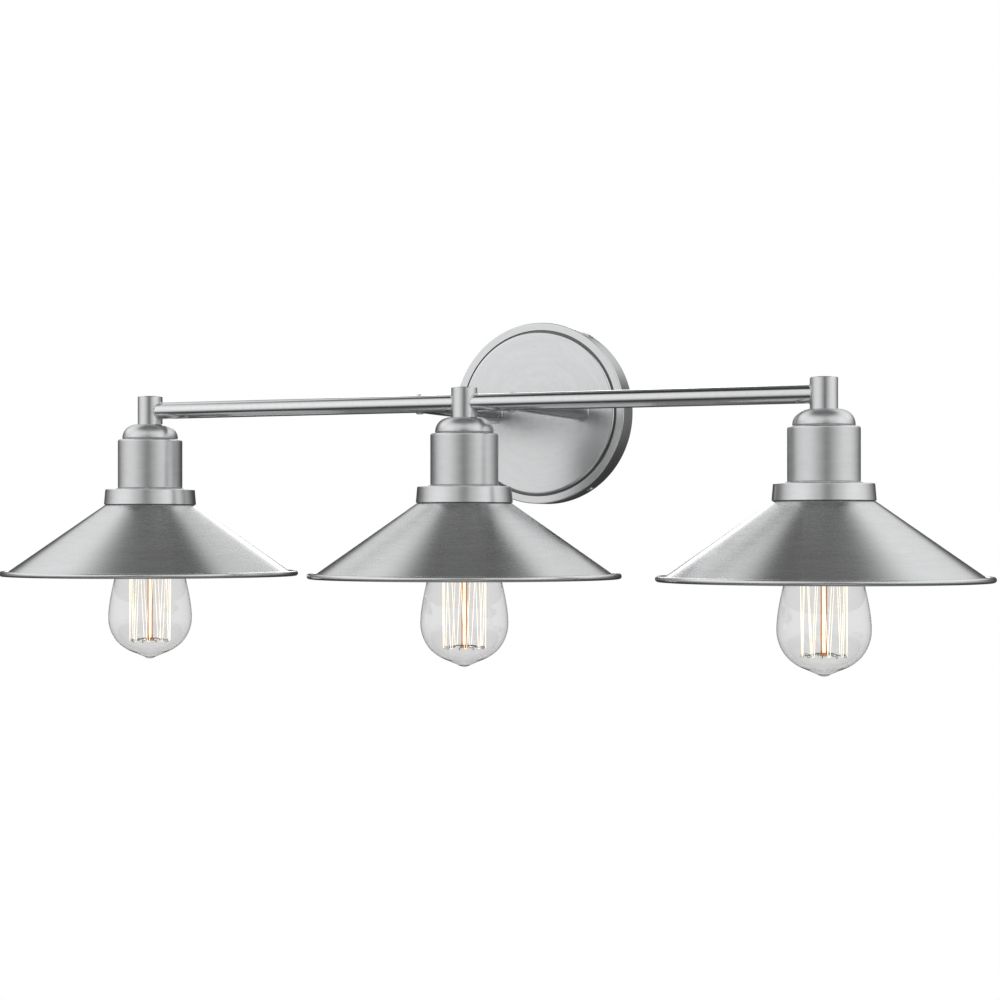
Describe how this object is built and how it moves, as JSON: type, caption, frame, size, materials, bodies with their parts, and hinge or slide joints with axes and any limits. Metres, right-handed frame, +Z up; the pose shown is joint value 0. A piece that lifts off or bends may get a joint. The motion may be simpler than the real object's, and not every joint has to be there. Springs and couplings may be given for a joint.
{
  "type": "vanity light bar",
  "caption": "Vanity light bar: a brushed nickel rod on two arms from a round wall canopy carries cone shades that hang over teardrop filament bulbs.",
  "frame": {"origin": "on the wall, at the middle of the mounting plate's back face, midway between its two wall screw slots", "axes": "+X along the rod, to the right seen from the front; +Y into the wall; +Z up, with the shades hanging below the rod"},
  "size_m": [0.762, 0.2794, 0.2635],
  "materials": {
    "brushed_nickel": "brushed nickel plate on steel, clear lacquer, satin sheen",
    "spun_nickel": "brushed nickel plate on spun steel, fine circular grain",
    "zinc_plate": "zinc-plated sheet steel",
    "threaded_steel": "zinc-plated steel thread and nuts",
    "green_screw": "green-dyed zinc plate",
    "brass": "plain turned brass",
    "porcelain": "white glazed porcelain",
    "socket_cap_black": "black phenolic moulding, satin",
    "screw_shell": "nickel-plated aluminium",
    "clear_glass": "clear blown glass",
    "mount_glass": "clear pressed glass",
    "bulb_base_metal": "rolled nickel-plated screw base",
    "black_insulator": "black vitrified glass with a soldered tip",
    "copper_wire": "copper-coloured support wire",
    "glowing_filament": "glowing carbon filament",
    "black_insulation": "black wire insulation",
    "white_insulation": "white wire insulation",
    "wire_nut_plastic": "orange moulded connector"
  },
  "bodies": {
    "root": {"canopy": "brushed_nickel", "mounting_plate": "zinc_plate", "canopy_screws": "brushed_nickel", "ground_screw": "green_screw", "arm_left": "brushed_nickel", "arm_right": "brushed_nickel", "arm_seat_rings": "brushed_nickel", "arm_nipples": "threaded_steel", "arm_lock_washers": "threaded_steel", "arm_nuts": "threaded_steel", "rod_left": "brushed_nickel", "rod_right": "brushed_nickel", "stem_nipples": "brass", "nipple_nuts": "threaded_steel", "socket_caps": "socket_cap_black", "socket_contacts": "brass", "terminal_screws": "brass", "shade_rings": "socket_cap_black", "line_wires": "black_insulation", "neutral_wires": "white_insulation", "wire_nuts": "wire_nut_plastic", "stem_left": "brushed_nickel", "dome_cap_left": "brushed_nickel", "socket_cup_left": "brushed_nickel", "shade_collar_left": "brushed_nickel", "shade_left": "spun_nickel", "socket_body_left": "porcelain", "screw_shell_left": "screw_shell", "stem_middle": "brushed_nickel", "dome_cap_middle": "brushed_nickel", "socket_cup_middle": "brushed_nickel", "shade_collar_middle": "brushed_nickel", "shade_middle": "spun_nickel", "socket_body_middle": "porcelain", "screw_shell_middle": "screw_shell", "stem_right": "brushed_nickel", "dome_cap_right": "brushed_nickel", "socket_cup_right": "brushed_nickel", "shade_collar_right": "brushed_nickel", "shade_right": "spun_nickel", "socket_body_right": "porcelain", "screw_shell_right": "screw_shell"},
    "bulb_left_feed": {"bulb_contact_left": "black_insulator"},
    "bulb_left": {"bulb_glass_left": "clear_glass", "bulb_base_left": "bulb_base_metal", "bulb_mount_left": "mount_glass", "filament_support_left": "copper_wire", "filament_left": "glowing_filament"},
    "bulb_middle_feed": {"bulb_contact_middle": "black_insulator"},
    "bulb_middle": {"bulb_glass_middle": "clear_glass", "bulb_base_middle": "bulb_base_metal", "bulb_mount_middle": "mount_glass", "filament_support_middle": "copper_wire", "filament_middle": "glowing_filament"},
    "bulb_right_feed": {"bulb_contact_right": "black_insulator"},
    "bulb_right": {"bulb_glass_right": "clear_glass", "bulb_base_right": "bulb_base_metal", "bulb_mount_right": "mount_glass", "filament_support_right": "copper_wire", "filament_right": "glowing_filament"}
  },
  "joints": [
    {"name": "bulb_left_travel", "type": "slide", "parent": "root", "child": "bulb_left_feed", "axis": [0, 0, -1], "range_m": [0, 0.01815]},
    {"name": "bulb_left_turn", "type": "hinge", "parent": "bulb_left_feed", "child": "bulb_left", "pos_m": [-0.2667, -0.1651, 0], "axis": [0, 0, -1], "range_deg": [0, 1800]},
    {"name": "bulb_middle_travel", "type": "slide", "parent": "root", "child": "bulb_middle_feed", "axis": [0, 0, -1], "range_m": [0, 0.01815]},
    {"name": "bulb_middle_turn", "type": "hinge", "parent": "bulb_middle_feed", "child": "bulb_middle", "pos_m": [0, -0.1651, 0], "axis": [0, 0, -1], "range_deg": [0, 1800]},
    {"name": "bulb_right_travel", "type": "slide", "parent": "root", "child": "bulb_right_feed", "axis": [0, 0, -1], "range_m": [0, 0.01815]},
    {"name": "bulb_right_turn", "type": "hinge", "parent": "bulb_right_feed", "child": "bulb_right", "pos_m": [0.2667, -0.1651, 0], "axis": [0, 0, -1], "range_deg": [0, 1800]}
  ],
  "couplings": [
    {"joint": "bulb_left_travel", "follows": "bulb_left_turn", "m_per_rad": 0.00057757},
    {"joint": "bulb_middle_travel", "follows": "bulb_middle_turn", "m_per_rad": 0.00057757},
    {"joint": "bulb_right_travel", "follows": "bulb_right_turn", "m_per_rad": 0.00057757}
  ]
}
